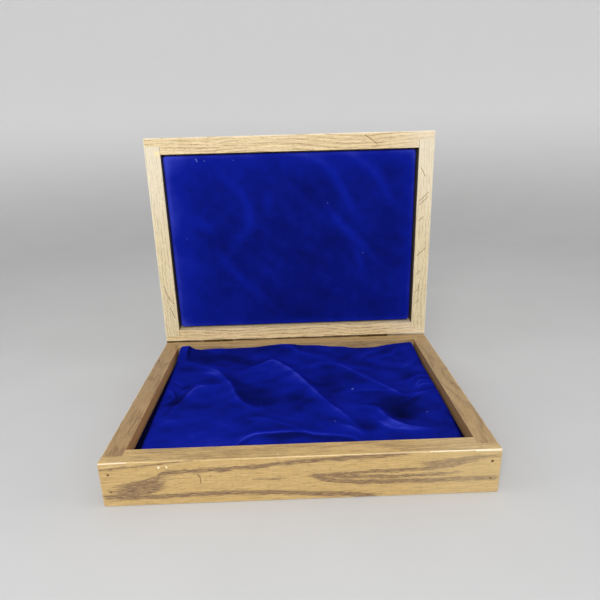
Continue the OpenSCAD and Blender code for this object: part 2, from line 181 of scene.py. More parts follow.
class Graph:
    """Builds the nodes of one material. Each step gives back a socket for the next."""

    def __init__(self, name):
        self.material = bpy.data.materials.new(name)
        self.material.use_nodes = True
        self.tree = self.material.node_tree
        self.shader = self.tree.nodes["Principled BSDF"]

    def add(self, kind, **settings):
        node = self.tree.nodes.new(kind)
        for key, value in settings.items():
            setattr(node, key, value)
        return node

    def feed(self, socket, value):
        if isinstance(value, bpy.types.NodeSocket):
            self.tree.links.new(value, socket)
        else:
            socket.default_value = value

    def set(self, name, value):
        self.feed(self.shader.inputs[name], value)

    def math(self, operation, a, b=0.0, clamp=False):
        node = self.add("ShaderNodeMath", operation=operation, use_clamp=clamp)
        self.feed(node.inputs[0], a)
        self.feed(node.inputs[1], b)
        return node.outputs[0]

    def vector(self, operation, a, b=(0.0, 0.0, 0.0)):
        node = self.add("ShaderNodeVectorMath", operation=operation)
        self.feed(node.inputs[0], a)
        self.feed(node.inputs[1], b)
        return node.outputs["Value" if operation in ("LENGTH", "DOT_PRODUCT", "DISTANCE") else "Vector"]

    def scaled(self, vector, factors):
        return self.vector("MULTIPLY", vector, factors)

    def point(self):
        """The place in the part's own frame, in millimetres."""
        return self.scaled(self.add("ShaderNodeTexCoord").outputs["Object"], (1 / MM,) * 3)

    def split(self, vector):
        node = self.add("ShaderNodeSeparateXYZ")
        self.feed(node.inputs[0], vector)
        return list(node.outputs)

    def join(self, x, y, z):
        node = self.add("ShaderNodeCombineXYZ")
        for socket, value in zip(node.inputs, (x, y, z)):
            self.feed(socket, value)
        return node.outputs[0]

    def noise(self, vector, detail=2.0, roughness=0.5):
        node = self.add("ShaderNodeTexNoise")
        self.feed(node.inputs["Vector"], vector)
        node.inputs["Scale"].default_value = 1.0
        node.inputs["Detail"].default_value = detail
        node.inputs["Roughness"].default_value = roughness
        return node.outputs["Fac"]

    def rise(self, value, low, high):
        """0 below low and 1 above high, with a smooth rise between. It falls where low is above high."""
        node = self.add("ShaderNodeMapRange", interpolation_type="SMOOTHSTEP")
        for socket, number in zip(node.inputs, (value, min(low, high), max(low, high))):
            self.feed(socket, number)
        node.inputs["To Min"].default_value = float(low > high)
        node.inputs["To Max"].default_value = float(low < high)
        return node.outputs["Result"]

    def blend(self, share, first, second):
        node = self.add("ShaderNodeMix", data_type="RGBA")
        self.feed(node.inputs["Factor"], share)
        self.feed(node.inputs["A"], first)
        self.feed(node.inputs["B"], second)
        return next(s for s in node.outputs if s.type == "RGBA")

    def curve(self, value, points):
        """A smooth curve through the points, for a value inside their range."""
        xs = [p[0] for p in points]
        ys = [p[1] for p in points]
        wide = xs[-1] - xs[0]
        low = min(ys) - 1
        tall = max(ys) + 1 - low
        node = self.add("ShaderNodeFloatCurve")
        line = node.mapping.curves[0]
        while len(line.points) < len(points):
            line.points.new(0.5, 0.5)
        for dot, (x, y) in zip(line.points, points):
            dot.location = ((x - xs[0]) / wide, (y - low) / tall)
        node.mapping.update()
        share = self.math("DIVIDE", self.math("SUBTRACT", value, xs[0]), wide)
        self.feed(node.inputs["Value"], share)
        return self.math("ADD", self.math("MULTIPLY", node.outputs[0], tall), low)

    def bump(self, height, depth):
        """Raises the surface by the height, which runs from 0 to 1, times the depth in millimetres."""
        node = self.add("ShaderNodeBump")
        node.inputs["Distance"].default_value = depth * MM
        self.feed(node.inputs["Height"], height)
        return node.outputs[0]


def tone(red, green, blue):
    """A colour given as screen values from 0 to 255."""
    def linear(value):
        value = value / 255
        return value / 12.92 if value <= 0.04045 else ((value + 0.055) / 1.055) ** 2.4
    return (linear(red), linear(green), linear(blue), 1.0)


# ---- Wood ----

def near_edge(graph, point, low, high):
    """1 on the outside edges of a box, falling to 0 at the reach of the wear and painted highlight from them.
    """
    gaps = []
    for value, a, b in zip(graph.split(point), low, high):
        gaps.append(graph.math("MINIMUM", graph.math("SUBTRACT", value, a), graph.math("SUBTRACT", b, value)))
    pairs = [graph.math("MAXIMUM", gaps[i], gaps[j]) for i, j in ((0, 1), (1, 2), (0, 2))]
    nearest = graph.math("MINIMUM", graph.math("MINIMUM", pairs[0], pairs[1]), pairs[2])
    return graph.rise(nearest, ARRIS_WEAR_AND_HIGHLIGHT, 0.3)


def segment_gap(graph, point, start, end):
    """Distance from a point to a straight line between two points."""
    start = Vector(start)
    run = Vector(end) - start
    offset = graph.vector("SUBTRACT", point, tuple(start))
    along = graph.vector("DOT_PRODUCT", offset, tuple(run))
    share = graph.math("DIVIDE", along, run.length_squared, clamp=True)
    foot = graph.vector("MULTIPLY", graph.join(share, share, share), tuple(run))
    return graph.vector("DISTANCE", offset, foot)


def front_figure(graph, point):
    """How dark the streaks make each point on the front board's face, and where that face is."""
    x, y, z = graph.split(point)

    def fibres(long, tall, shift, detail):
        place = graph.join(graph.math("DIVIDE", x, long), shift, graph.math("DIVIDE", z, tall))
        return graph.noise(place, detail, 0.6)

    def swing(value, size):
        return graph.math("MULTIPLY", graph.math("SUBTRACT", value, 0.5), size)

    height = graph.math("ADD", z, swing(fibres(24, 26, 8.0, 2.0), 2.4))
    height = graph.math("ADD", height, swing(fibres(15, 0.55, 3.0, 3.0), 8.5))
    total = 0.0
    for line, half in STREAKS:
        first, last = line[0][0], line[-1][0]
        gap = graph.math("ABSOLUTE", graph.math("SUBTRACT", height, graph.curve(x, line)))
        band = graph.rise(gap, half + 0.7, max(half - 0.5, 0.0))
        ends = swing(fibres(30, 0.9, 17.0, 2.0), 60.0)
        along = graph.math("ADD", x, ends)
        begun = graph.rise(along, first - 3, first + 3)
        ended = graph.rise(along, last + 3, last - 3)
        inside = graph.math("MULTIPLY", begun, ended)
        total = graph.math("MAXIMUM", total, graph.math("MULTIPLY", band, inside))
    threads = graph.rise(fibres(9, 0.45, 29.0, 2.0), 0.40, 0.54)
    total = graph.math("MULTIPLY", total, graph.math("ADD", graph.math("MULTIPLY", threads, 0.62), 0.38))
    face = graph.rise(y, FRONT + 1.0, FRONT + 0.6)
    return graph.math("MULTIPLY", total, face), face


def oak(name, along, heart, spacing, tones, box, seed, figure=None, marks=(), banding=0.8, wear_and_highlight=0.8):
    """Oak with growth rings round a heart line, pores that gather in the rings, and worn edges that carry a
    painted highlight.

    The tones are the light, middle and dark ones, and that of the worn edges with their painted highlight.
    """
    light, middle, dark, edge = tones
    graph = Graph(name)
    point = graph.point()
    parts = graph.split(point)
    u = parts.pop("xyz".index(along))
    v, w = parts
    v = graph.math("SUBTRACT", v, heart[0])
    w = graph.math("SUBTRACT", w, heart[1])

    def grain(long, wide, shift, detail=2.0, roughness=0.5):
        return graph.noise(
            graph.join(
                graph.math("ADD", graph.math("DIVIDE", u, long), seed + shift),
                graph.math("DIVIDE", v, wide),
                graph.math("DIVIDE", w, wide),
            ),
            detail,
            roughness,
        )

    sway = graph.math("MULTIPLY", graph.math("SUBTRACT", grain(110, 45, 0.0, 1.0), 0.5), 22.0)
    ripple = graph.math("MULTIPLY", graph.math("SUBTRACT", grain(26, 6, 5.0, 3.0), 0.5), 2.2)
    radius = graph.vector("LENGTH", graph.join(v, w, 0.0))
    ring = graph.math("ADD", graph.math("ADD", radius, sway), ripple)
    saw = graph.math("FRACT", graph.math("DIVIDE", ring, spacing))
    early = graph.math("MULTIPLY", graph.rise(saw, 0.0, 0.08), graph.rise(saw, 0.55, 0.2))
    fibre = grain(30, 0.9, 11.0, 3.0, 0.6)
    feather = graph.rise(fibre, 0.34, 0.62)
    band = graph.math("MULTIPLY", early, feather)
    if figure is not None:
        drawn, face = figure(graph, point)
        quiet = graph.math("MULTIPLY", band, graph.math("SUBTRACT", 0.45, graph.math("MULTIPLY", face, 0.4)))
        band = graph.math("MAXIMUM", quiet, drawn)
    pore_noise = grain(4.5, 0.32, 23.0, 1.0)
    pores = graph.rise(graph.math("ADD", pore_noise, graph.math("MULTIPLY", band, 0.13)), 0.60, 0.70)
    cloud = grain(60, 12, 31.0, 2.0)
    flecks = grain(9, 0.6, 41.0, 2.0)
    threads = grain(16, 0.42, 61.0, 2.0, 0.6)

    colour = graph.blend(graph.rise(fibre, 0.3, 0.7), light, middle)
    colour = graph.blend(graph.math("MULTIPLY", graph.rise(flecks, 0.5, 0.75), 0.45), colour, light)
    colour = graph.blend(graph.math("MULTIPLY", graph.rise(cloud, 0.35, 0.75), 0.35), colour, middle)
    colour = graph.blend(graph.math("MULTIPLY", graph.rise(threads, 0.46, 0.66), 0.42), colour, dark)
    colour = graph.blend(graph.math("MULTIPLY", band, banding), colour, dark)
    pore_tone = tuple(part * 0.55 for part in dark[:3]) + (1.0,)
    colour = graph.blend(graph.math("MULTIPLY", pores, 0.55), colour, pore_tone)
    edge_share = near_edge(graph, point, *box)
    # The worn edges' tone stands for real wear and for a painted highlight along the arrises.
    rubbed_and_highlit = graph.math("MULTIPLY", edge_share, graph.rise(grain(14, 3, 53.0), 0.28, 0.55))
    colour = graph.blend(graph.math("MULTIPLY", rubbed_and_highlit, wear_and_highlight), colour, edge)
    for mark in marks:
        colour = mark(graph, point, colour)
    graph.set("Base Color", colour)
    rough = graph.math("ADD", 0.36, graph.math("MULTIPLY", cloud, 0.16))
    rough = graph.math("ADD", rough, graph.math("MULTIPLY", edge_share, 0.34))
    graph.set("Roughness", graph.math("ADD", rough, graph.math("MULTIPLY", pores, 0.2), clamp=True))
    graph.set("Specular IOR Level", 0.45)
    height = graph.math("SUBTRACT", 1.0, graph.math("MAXIMUM", pores, graph.math("MULTIPLY", band, 0.3)))
    graph.set("Normal", graph.bump(height, 0.06))
    return graph.material


def fade_along_axis(axis, low, high, colour, ragged, share=1.0):
    """A colour that fades in from one place to another along an axis, with an uneven edge."""
    def draw(graph, point, below):
        uneven = graph.noise(graph.scaled(point, (1 / 25, 1 / 25, 1 / 25)), 3.0, 0.6)
        value = graph.math("ADD", graph.split(point)[axis], graph.math("MULTIPLY", uneven, ragged))
        return graph.blend(graph.math("MULTIPLY", graph.rise(value, low, high), share), below, colour)
    return draw


def inner_wall_shading(place, colour, share):
    """A colour painted over the side boards' inside, at a distance from the middle along X, standing in for
    the light and shade there.
    """
    def draw(graph, point, below):
        gap = graph.math("ABSOLUTE", graph.split(point)[0])
        wall_shading = graph.math("MULTIPLY", graph.rise(gap, place + 0.5, place + 0.15), share)
        return graph.blend(wall_shading, below, colour)
    return draw


def spot(place, radius, colour, flat=(1, 1, 1), ragged=0.0):
    """A small round mark, or one that runs right along an axis where flat holds a 0."""
    def draw(graph, point, below):
        gap = graph.vector("DISTANCE", graph.scaled(point, flat), place)
        uneven = graph.noise(graph.scaled(point, (1 / 18,) * 3), 3.0, 0.6)
        gap = graph.math("ADD", gap, graph.math("MULTIPLY", uneven, ragged))
        return graph.blend(graph.rise(gap, radius, radius * 0.5), below, colour)
    return draw


def scratch_and_highlight_line(start, end, width, colour):
    """A thin straight mark."""
    def draw(graph, point, below):
        gap = segment_gap(graph, point, start, end)
        return graph.blend(graph.rise(gap, width, width * 0.4), below, colour)
    return draw


def plywood(name):
    graph = Graph(name)
    point = graph.point()
    grain = graph.noise(graph.scaled(point, (1 / 60, 1 / 3, 1 / 3)), 4.0, 0.6)
    fine = graph.noise(graph.scaled(point, (1 / 12, 2.5, 2.5)), 2.0)
    colour = graph.blend(graph.rise(grain, 0.35, 0.65), tone(214, 186, 140), tone(186, 152, 106))
    colour = graph.blend(graph.math("MULTIPLY", graph.rise(fine, 0.55, 0.7), 0.5), colour, tone(150, 118, 80))
    graph.set("Base Color", colour)
    graph.set("Roughness", graph.math("ADD", 0.6, graph.math("MULTIPLY", fine, 0.2)))
    graph.set("Normal", graph.bump(grain, 0.1))
    return graph.material


def metal(name, bright, dull, rough):
    """Metal with tarnish in patches."""
    graph = Graph(name)
    point = graph.point()
    patches = graph.noise(graph.scaled(point, (0.3,) * 3), 4.0, 0.6)
    fine = graph.noise(graph.scaled(point, (3.0,) * 3), 2.0)
    graph.set("Base Color", graph.blend(graph.rise(patches, 0.35, 0.65), bright, dull))
    graph.set("Metallic", 1.0)
    graph.set("Roughness", graph.math("ADD", rough, graph.math("MULTIPLY", patches, 0.25)))
    graph.set("Normal", graph.bump(fine, 0.02))
    return graph.material


def foam_material(name):
    graph = Graph(name)
    point = graph.point()
    cells = graph.noise(graph.scaled(point, (1.2,) * 3), 3.0, 0.7)
    graph.set("Base Color", graph.blend(cells, tone(236, 226, 190), tone(205, 190, 150)))
    graph.set("Roughness", graph.math("ADD", 0.8, graph.math("MULTIPLY", cells, 0.2)))
    graph.set("Normal", graph.bump(cells, 0.4))
    return graph.material


def card_material(name):
    graph = Graph(name)
    point = graph.point()
    fibres = graph.noise(graph.scaled(point, (1 / 3, 1 / 3, 1 / 3)), 5.0, 0.7)
    colour = graph.blend(graph.rise(fibres, 0.4, 0.65), tone(178, 160, 130), tone(150, 132, 104))
    graph.set("Base Color", colour)
    graph.set("Roughness", graph.math("ADD", 0.75, graph.math("MULTIPLY", fibres, 0.2)))
    graph.set("Normal", graph.bump(fibres, 0.1))
    return graph.material


# ---- Velvet ----

def velvet(name, seed, marks=()):
    """Cotton velvet: a deep blue pile whose colour follows the pile attribute, darker with painted shade in
    its hollows and gaps and paler with painted highlight along its creases.
    """
    graph = Graph(name)
    point = graph.point()
    tufts = graph.noise(graph.scaled(point, (1.6,) * 3), 2.0, 0.6)
    place = graph.vector("ADD", graph.scaled(point, (1 / 14, 1 / 9, 1 / 14)), (seed, 0, 0))
    patches = graph.noise(place, 3.0, 0.55)
    pile_and_shading = graph.add("ShaderNodeAttribute", attribute_name="pile_and_shading").outputs["Fac"]
    nap_and_shading = graph.math("ADD", pile_and_shading, graph.math("MULTIPLY", graph.math("SUBTRACT", patches, 0.5), 0.30))
    nap_and_shading = graph.math("ADD", nap_and_shading, graph.math("MULTIPLY", graph.math("SUBTRACT", tufts, 0.5), 0.22))
    # The darkest stop is painted shadow for the gaps and hollows, and the palest is the painted highlight of
    # the crests.
    colour = graph.blend(graph.rise(nap_and_shading, -0.6, 0.1), tone(2, 4, 26), tone(6, 14, 84))
    colour = graph.blend(graph.rise(nap_and_shading, 0.0, 0.6), colour, tone(12, 27, 143))
    colour = graph.blend(graph.rise(nap_and_shading, 0.5, 1.3), colour, tone(66, 78, 212))
    for mark in marks:
        colour = mark(graph, point, colour)
    graph.set("Base Color", colour)
    graph.set("Roughness", graph.math("ADD", 0.82, graph.math("MULTIPLY", tufts, 0.15)))
    graph.set("Specular IOR Level", 0.03)
    graph.set("Sheen Weight", 0.45)
    graph.set("Sheen Roughness", 0.3)
    graph.set("Sheen Tint", tone(14, 36, 240))
    graph.set("Normal", graph.bump(tufts, 0.25))
    return graph.material


def smooth_line(points, pieces=6):
    """Points along a smooth line through the given ones."""
    pts = [Vector(p).to_3d() for p in points]
    pts = [pts[0] * 2 - pts[1], *pts, pts[-1] * 2 - pts[-2]]
    line = []
    for a, b, c, d in zip(pts, pts[1:], pts[2:], pts[3:]):
        for i in range(pieces):
            t = i / pieces
            line.append(0.5 * (2 * b + (c - a) * t + (2 * a - 5 * b + 4 * c - d) * t**2
                               + (3 * b - a - 3 * c + d) * t**3))
    line.append(pts[-2])
    return np.array([p[:2] for p in line])


def smooth_values(places, points):
    """Values along a smooth line through the given points, at each place."""
    line = smooth_line(points)
    return np.interp(places, line[:, 0], line[:, 1])


def line_gap(x, y, line):
    """Distance from each point to a smooth line, the side it is on, and how far along the line it is."""
    path = smooth_line(line)
    start = path[:-1]
    run = path[1:] - start
    rel = np.stack([x, y], -1)[..., None, :] - start
    share = np.clip((rel * run).sum(-1) / (run**2).sum(-1), 0, 1)
    off = rel - share[..., None] * run
    gap = np.hypot(off[..., 0], off[..., 1])
    best = gap.argmin(-1)[..., None]
    cross = run[:, 0] * rel[..., 1] - run[:, 1] * rel[..., 0]
    near, side, part = (np.take_along_axis(values, best, -1)[..., 0] for values in (gap, cross, share))
    return near, side, (best[..., 0] + part) / len(run)


def crease_share(x, y, line, widths, shades, crest_highlight):
    """A crease's height at each point, from 0 to 1, and the painted shade on its sides and painted highlight
    on its crest that it adds to the pile's lightness.
    """
    near, side, along = line_gap(x, y, line)
    taper = np.sin(np.pi * np.clip(along, 0, 1) * 0.92 + 0.12) ** 0.6
    width = np.where(side > 0, *widths) * (0.55 + 0.45 * taper)
    share = taper * np.exp(-np.sqrt((near / width) ** 2 + 0.05) * 1.25 + 0.28)
    slope = np.clip(near / 1.5, 0, 1) * np.exp(-((near / width / 1.1) ** 2))
    glow = 0.66 * np.exp(-((near / 1.5) ** 2)) + 0.4 * np.exp(-((near / 4.5) ** 2))
    # Painted light and shade on the crease's two sides, and a painted highlight along its crest.
    pile_and_shading = np.where(side > 0, *shades) * slope + crest_highlight * glow
    return share, taper * pile_and_shading


def roll(gap):
    """How far a sheet has risen at a gap from its edge: 0 at the edge, and 1 past the roll."""
    gap = np.clip(gap / VELVET_ROLL, 0, 1)
    return np.sqrt(1 - (1 - gap) ** 2)


def edge_steps(low, high, step, reach):
    """Places across a sheet, closer together where it rolls over at its edges."""
    count = round(reach / 0.6)
    rim = np.linspace(0, reach, count, endpoint=False)
    middle = np.linspace(low + reach, high - reach, round((high - low - 2 * reach) / step) + 1)
    return np.concatenate([low + rim, middle, (high - rim)[::-1]])


def undulation(x, y, size, seed):
    """Gentle unevenness of cloth, from -1 to 1."""
    flat = np.array([noise.noise((a / size, b / size, seed)) for a, b in zip(x.ravel(), y.ravel())])
    return flat.reshape(x.shape)


def base_velvet_height(x, y):
    """Height of the loose velvet over the foam, in millimetres, and how light its pile is, with the painted
    shade and highlights of its creases and hollows.
    """
    height = VELVET_LEVEL + 1.1 * undulation(x, y, 60, 3.0) + 0.5 * undulation(x, y, 22, 8.0)
    back = np.clip((y - 62) / 50, 0, 1) ** 1.6
    height = height + smooth_values(x, BACK_RISE) * back
    slant = undulation(0.84 * x - 0.54 * y, 4.2 * (0.54 * x + 0.84 * y), 62, 17.0)
    cross = undulation(0.9 * x + 0.44 * y, 3.6 * (0.9 * y - 0.44 * x), 48, 23.0)
    height = height + 0.7 * slant + 0.5 * cross
    pile_and_shading = 0.38 + 0.10 * undulation(x, y, 34, 12.0) + 0.06 * undulation(x, y, 12, 4.0)
    pile_and_shading = pile_and_shading + 0.20 * slant + 0.15 * cross
    pile_and_shading = pile_and_shading + 0.12 * np.clip((-y - 40) / 60, 0, 1) * np.clip(-x / 60, 0, 1)
    for line, tall, *looks in CREASES:
        share, shade = crease_share(x, y, line, *looks)
        height = height + tall * share
        pile_and_shading = pile_and_shading + shade
    for (a, b), deep, wide, long, dark in HOLLOWS:
        dip = np.exp(-((x - a) / wide) ** 2 - ((y - b) / long) ** 2)
        height = height - deep * dip
        # Painted shade: the pile goes darker in each hollow.
        pile_and_shading = pile_and_shading - dark * dip
    height = VELVET_TOP - np.log1p(np.exp((VELVET_TOP - height) / VELVET_SOFT_TOP)) * VELVET_SOFT_TOP
    return height, pile_and_shading


def mesh_object(name, verts, faces):
    mesh = bpy.data.meshes.new(name)
    mesh.from_pydata([tuple(v) for v in verts], [], faces)
    mesh.validate()
    obj = bpy.data.objects.new(name, mesh)
    bpy.context.scene.collection.objects.link(obj)
    for face in mesh.polygons:
        face.use_smooth = True
    return obj


def grid_faces(rows, columns):
    return [
        (r * columns + c, r * columns + c + 1, (r + 1) * columns + c + 1, (r + 1) * columns + c)
        for r in range(rows - 1)
        for c in range(columns - 1)
    ]


def give_pile_and_shading(obj, pile_and_shading):
    """Keeps the pile's lightness at each vertex, with its painted shade and highlights, for the velvet's
    colour.
    """
    layer = obj.data.attributes.new("pile_and_shading", "FLOAT", "POINT")
    layer.data.foreach_set("value", pile_and_shading.ravel().astype(np.float32))


def make_base_velvet():
    low, high = (np.array(corner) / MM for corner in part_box("base_velvet"))
    xs = edge_steps(low[0] + 0.3, high[0] - 0.3, VELVET_STEP, 12)
    ys = edge_steps(low[1] + 0.3, high[1] - 0.3, VELVET_STEP, 6)
    x, y = np.meshgrid(xs, ys)
    left = x - low[0] - smooth_values(y, LEFT_GAP)
    right = high[0] - smooth_values(y, RIGHT_GAP) - x
    rise = roll(left) * roll(right) * roll(y - ys[0] + 1) * roll(ys[-1] - y + 1)
    height, pile_and_shading = base_velvet_height(x, y)
    # Painted shade: the pile goes near black in the gaps between the velvet's rolled edge and the side
    # boards.
    pile_and_shading = pile_and_shading - 1.2 * (1 - np.clip(np.minimum(left, right) / 2.5 - 0.2, 0, 1))
    z = low[2] + VELVET_T + height * rise
    verts = np.stack([x, y, z], -1).reshape(-1, 3) * MM
    obj = mesh_object("base_velvet_sheet", verts, grid_faces(len(ys), len(xs)))
    give_pile_and_shading(obj, pile_and_shading)
    thick = obj.modifiers.new("thickness", "SOLIDIFY")
    thick.thickness = VELVET_T * MM
    thick.offset = -1
    lint = [spot(place, size, tone(150, 165, 210), (1, 1, 0)) for place, size in LINT]
    obj.data.materials.append(velvet("base_velvet", 2.0, lint))
    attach(obj, "base")
    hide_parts("base_velvet")


def lid_pile_and_sheen(x, z, low, high):
    """How light the lid's pile is: lighter with painted sheen along its edges, and in the bands that a hand
    brushed.
    """
    slant = undulation(x - 0.7 * z, 4.0 * (0.7 * x + z), 90, 7.0)
    pile_and_shading = 0.26 + 0.08 * undulation(x, z, 50, 7.0) + 0.10 * slant
    for line, width, light in LID_BANDS:
        near, _, along = line_gap(x, z, line)
        taper = np.sin(np.pi * np.clip(along, 0, 1) * 0.9 + 0.16) ** 0.7
        pile_and_shading = pile_and_shading + light * taper * np.exp(-((near / width) ** 2))
    # Painted sheen: the pile is lighter towards each edge of the pad, most on the left.
    edge_sheen = ((x - low[0], 0.50, 22), (high[0] - x, 0.34, 9), (high[2] - z, 0.34, 15), (z - low[2], 0.26, 5))
    for gap, light, reach in edge_sheen:
        pile_and_shading = pile_and_shading + light * np.exp(-gap / reach)
    # Painted sheen: a lighter band where the cloth starts to turn over the pad's edge.
    edge = np.minimum(np.minimum(x - low[0], high[0] - x), np.minimum(z - low[2], high[2] - z))
    return pile_and_shading + 0.12 * np.exp(-((edge - 2.5) / 2.2) ** 2)


def pad_outline(a, b, inset, half_wide, half_tall):
    """Point on the pad's rounded outline, for a place on the square from -1 to 1."""
    wide, tall = half_wide - inset, half_tall - inset
    x, z = a * wide, b * tall
    radius = max((PAD_LOOSE_CORNER if x > 0 > z else PAD_CORNER) - inset, 0.5)
    past_x, past_z = abs(x) - (wide - radius), abs(z) - (tall - radius)
    if past_x > 0 and past_z > 0:
        reach = max(past_x, past_z) / max(math.hypot(past_x, past_z), 1e-9)
        x = math.copysign(wide - radius + past_x * reach, x)
        z = math.copysign(tall - radius + past_z * reach, z)
    return x - PAD_LEAN * max(-a, 0) * (b + 1) / 2, z


def pad_profile(front, back):
    """The pad's side from its face to its back, as insets and depths."""
    turns = [
        (PAD_ROUND * (1 - math.sin(turn)), PAD_ROUND * (1 - math.cos(turn)))
        for turn in np.linspace(0, math.pi / 2, 6)[1:]
    ]
    profile = [(inset, front + deep) for inset, deep in turns]
    return profile + [(0.0, back - 3), (0.3, back - 1), (1.0, back), (6.0, back), (14.0, back)]


def pad_mesh(low, high):
    """The cover of the lid's pad: a crowned face, then rings that turn over its edge to the back."""
    middle = (low + high) / 2
    halves = ((high[0] - low[0]) / 2, (high[2] - low[2]) / 2)
    front = low[1] + 0.1
    columns, rows = PAD_GRID
    mesh = bmesh.new()
    grid = []
    for j in range(rows + 1):
        line = []
        for i in range(columns + 1):
            a, b = i / columns * 2 - 1, j / rows * 2 - 1
            x, z = pad_outline(a, b, PAD_ROUND, *halves)
            edge = max(abs(a), abs(b))
            crown = PAD_CROWN * (1 - a * a) * (1 - b * b) + 0.25 * noise.noise((x / 45, z / 45, 1.7))
            depth = front - crown * (1 - edge**6)
            line.append(mesh.verts.new((x + middle[0], depth, z + middle[2])))
        grid.append(line)
    for lower, upper in zip(grid, grid[1:]):
        for i in range(columns):
            mesh.faces.new((lower[i], lower[i + 1], upper[i + 1], upper[i]))
    rim = (
        [(i, 0) for i in range(columns)] + [(columns, j) for j in range(rows)]
        + [(i, rows) for i in range(columns, 0, -1)] + [(0, j) for j in range(rows, 0, -1)]
    )
    rings = [[grid[j][i] for i, j in rim]]
    for inset, depth in pad_profile(front, high[1]):
        ring = []
        for i, j in rim:
            x, z = pad_outline(i / columns * 2 - 1, j / rows * 2 - 1, inset, *halves)
            ring.append(mesh.verts.new((x + middle[0], depth, z + middle[2])))
        rings.append(ring)
    for near, far in zip(rings, rings[1:]):
        for k in range(len(rim)):
            following = (k + 1) % len(rim)
            mesh.faces.new((near[following], near[k], far[k], far[following]))
    mesh.normal_update()
    data = bpy.data.meshes.new("lid_velvet_pad")
    mesh.to_mesh(data)
    mesh.free()
    return data


def make_lid_velvet():
    low, high = (np.array(corner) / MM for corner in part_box("lid_velvet"))
    data = pad_mesh(low, high)
    places = np.array([v.co for v in data.vertices])
    pile_and_shading = lid_pile_and_sheen(places[:, 0], places[:, 2], low, high)
    data.transform(Matrix.Scale(MM, 4))
    obj = bpy.data.objects.new("lid_velvet_pad", data)
    bpy.context.scene.collection.objects.link(obj)
    for face in data.polygons:
        face.use_smooth = True
    thick = obj.modifiers.new("thickness", "SOLIDIFY")
    thick.thickness = PAD_CLOTH * MM
    thick.offset = -1
    give_pile_and_shading(obj, pile_and_shading)
    grey = tone(96, 116, 186)
    specks = [spot(place, size, grey, (1, 0, 1)) for place, size in LID_LINT]
    data.materials.append(velvet("lid_velvet", 5.0, specks))
    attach(obj, "lid")
    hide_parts("lid_velvet")


# ---- CAD nodes ----

def soften(obj, width, segments):
    """Rounds a CAD node's sharp edges a little."""
    weld = obj.modifiers.new("weld", "WELD")
    weld.merge_threshold = 0.01 * MM
    bevel = obj.modifiers.new("arris", "BEVEL")
    bevel.width = width * MM
    bevel.segments = segments
    bevel.limit_method = "ANGLE"
    bevel.angle_limit = math.radians(30)
    bevel.use_clamp_overlap = True
    normals = obj.modifiers.new("normals", "WEIGHTED_NORMAL")
    normals.keep_sharp = False


def paint(obj, material):
    obj.data.materials.clear()
    obj.data.materials.append(material)


def whole_box(names):
    """Lowest and highest corner of several nodes, in millimetres."""
    corners = [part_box(name) for name in names]
    low = [min(c[0][i] for c in corners) / MM for i in range(3)]
    high = [max(c[1][i] for c in corners) / MM for i in range(3)]
    return low, high


def brad_holes(places, radius, colour):
    """The dark holes over a row of sunk brads, on both sides of the middle."""
    return [spot((side * BRAD_X, y, z), radius, colour) for side in (-1, 1) for y, z in places]


def front_oak(box, hole):
    arris_y, arris_z = FRONT + 0.2, RIM - 0.2
    low_brad, high_brad = BASE_BRADS
    # The bright tone is the painted highlight on the top arris.
    bright = tone(250, 238, 210)
    marks = [
        fade_along_axis(0, 90, 170, tone(224, 202, 156), 40, 0.2),
        spot((-123, FRONT, 39), 1.6, tone(250, 232, 196)),
        spot((-116, FRONT, 39), 1.3, tone(246, 228, 190)),
        spot((-20, FRONT + 5, RIM), 1.0, tone(222, 200, 156)),
        # Painted highlights: pale lines along the front board's top arris, brightest at its ends.
        scratch_and_highlight_line((112, arris_y, arris_z), (175, arris_y, arris_z), 0.65, bright),
        scratch_and_highlight_line((152, arris_y, 44), (175, arris_y, 43.6), 0.7, bright),
        scratch_and_highlight_line((-20, arris_y, arris_z), (118, arris_y, arris_z), 0.45, tone(240, 220, 180)),
        scratch_and_highlight_line((-175, arris_y, 44), (-150, arris_y, arris_z), 0.7, tone(244, 222, 190)),
        scratch_and_highlight_line((-172, FRONT, 41), (-146, FRONT, 42.6), 0.4, tone(222, 194, 148)),
        scratch_and_highlight_line((-90, FRONT, 31), (-88, FRONT, 27), 0.55, tone(92, 66, 40)),
        scratch_and_highlight_line((-88, FRONT, 27), (-88, FRONT, 21), 0.45, tone(104, 76, 46)),
        spot((BRAD_X, FRONT, high_brad), 1.7, hole),
        spot((-BRAD_X, FRONT, high_brad), 1.5, hole),
        *brad_holes([(FRONT, low_brad)], 1.2, hole),
    ]
    tones = (tone(218, 186, 126), tone(196, 162, 100), tone(130, 102, 76), tone(230, 204, 150))
    return oak("front_oak", "x", (-132, -30), 9.0, tones, box, 1.0, front_figure, marks, 0.95, 0.4)


def back_oak(box, hole, pale_wear_and_highlight):
    # Painted shadow: a dark ragged line along the back board's top back edge, where the open lid stands over
    # it.
    joint_shadow = spot((0, BACK - 0.1, RIM), 2.4, tone(52, 36, 24), (0, 1, 1), 1.6)
    holes = brad_holes([(BACK, z) for z in BASE_BRADS], 1.4, hole)
    tones = (tone(196, 166, 116), tone(174, 142, 94), tone(132, 102, 70), pale_wear_and_highlight)
    return oak("back_oak", "x", (150, 60), 8.0, tones, box, 12.0, marks=[joint_shadow, *holes], banding=0.5)


def left_oak(box, pale_wear_and_highlight):
    # Painted light: the left board's inner face laid over with a lighter, warmer tone.
    wall_shading = inner_wall_shading(SIDE_WALL, tone(224, 166, 104), 0.7)
    tones = (tone(183, 152, 106), tone(163, 131, 87), tone(122, 93, 62), pale_wear_and_highlight)
    return oak("left_oak", "y", (-160, 90), 5.0, tones, box, 21.0, marks=[wall_shading], banding=0.45)


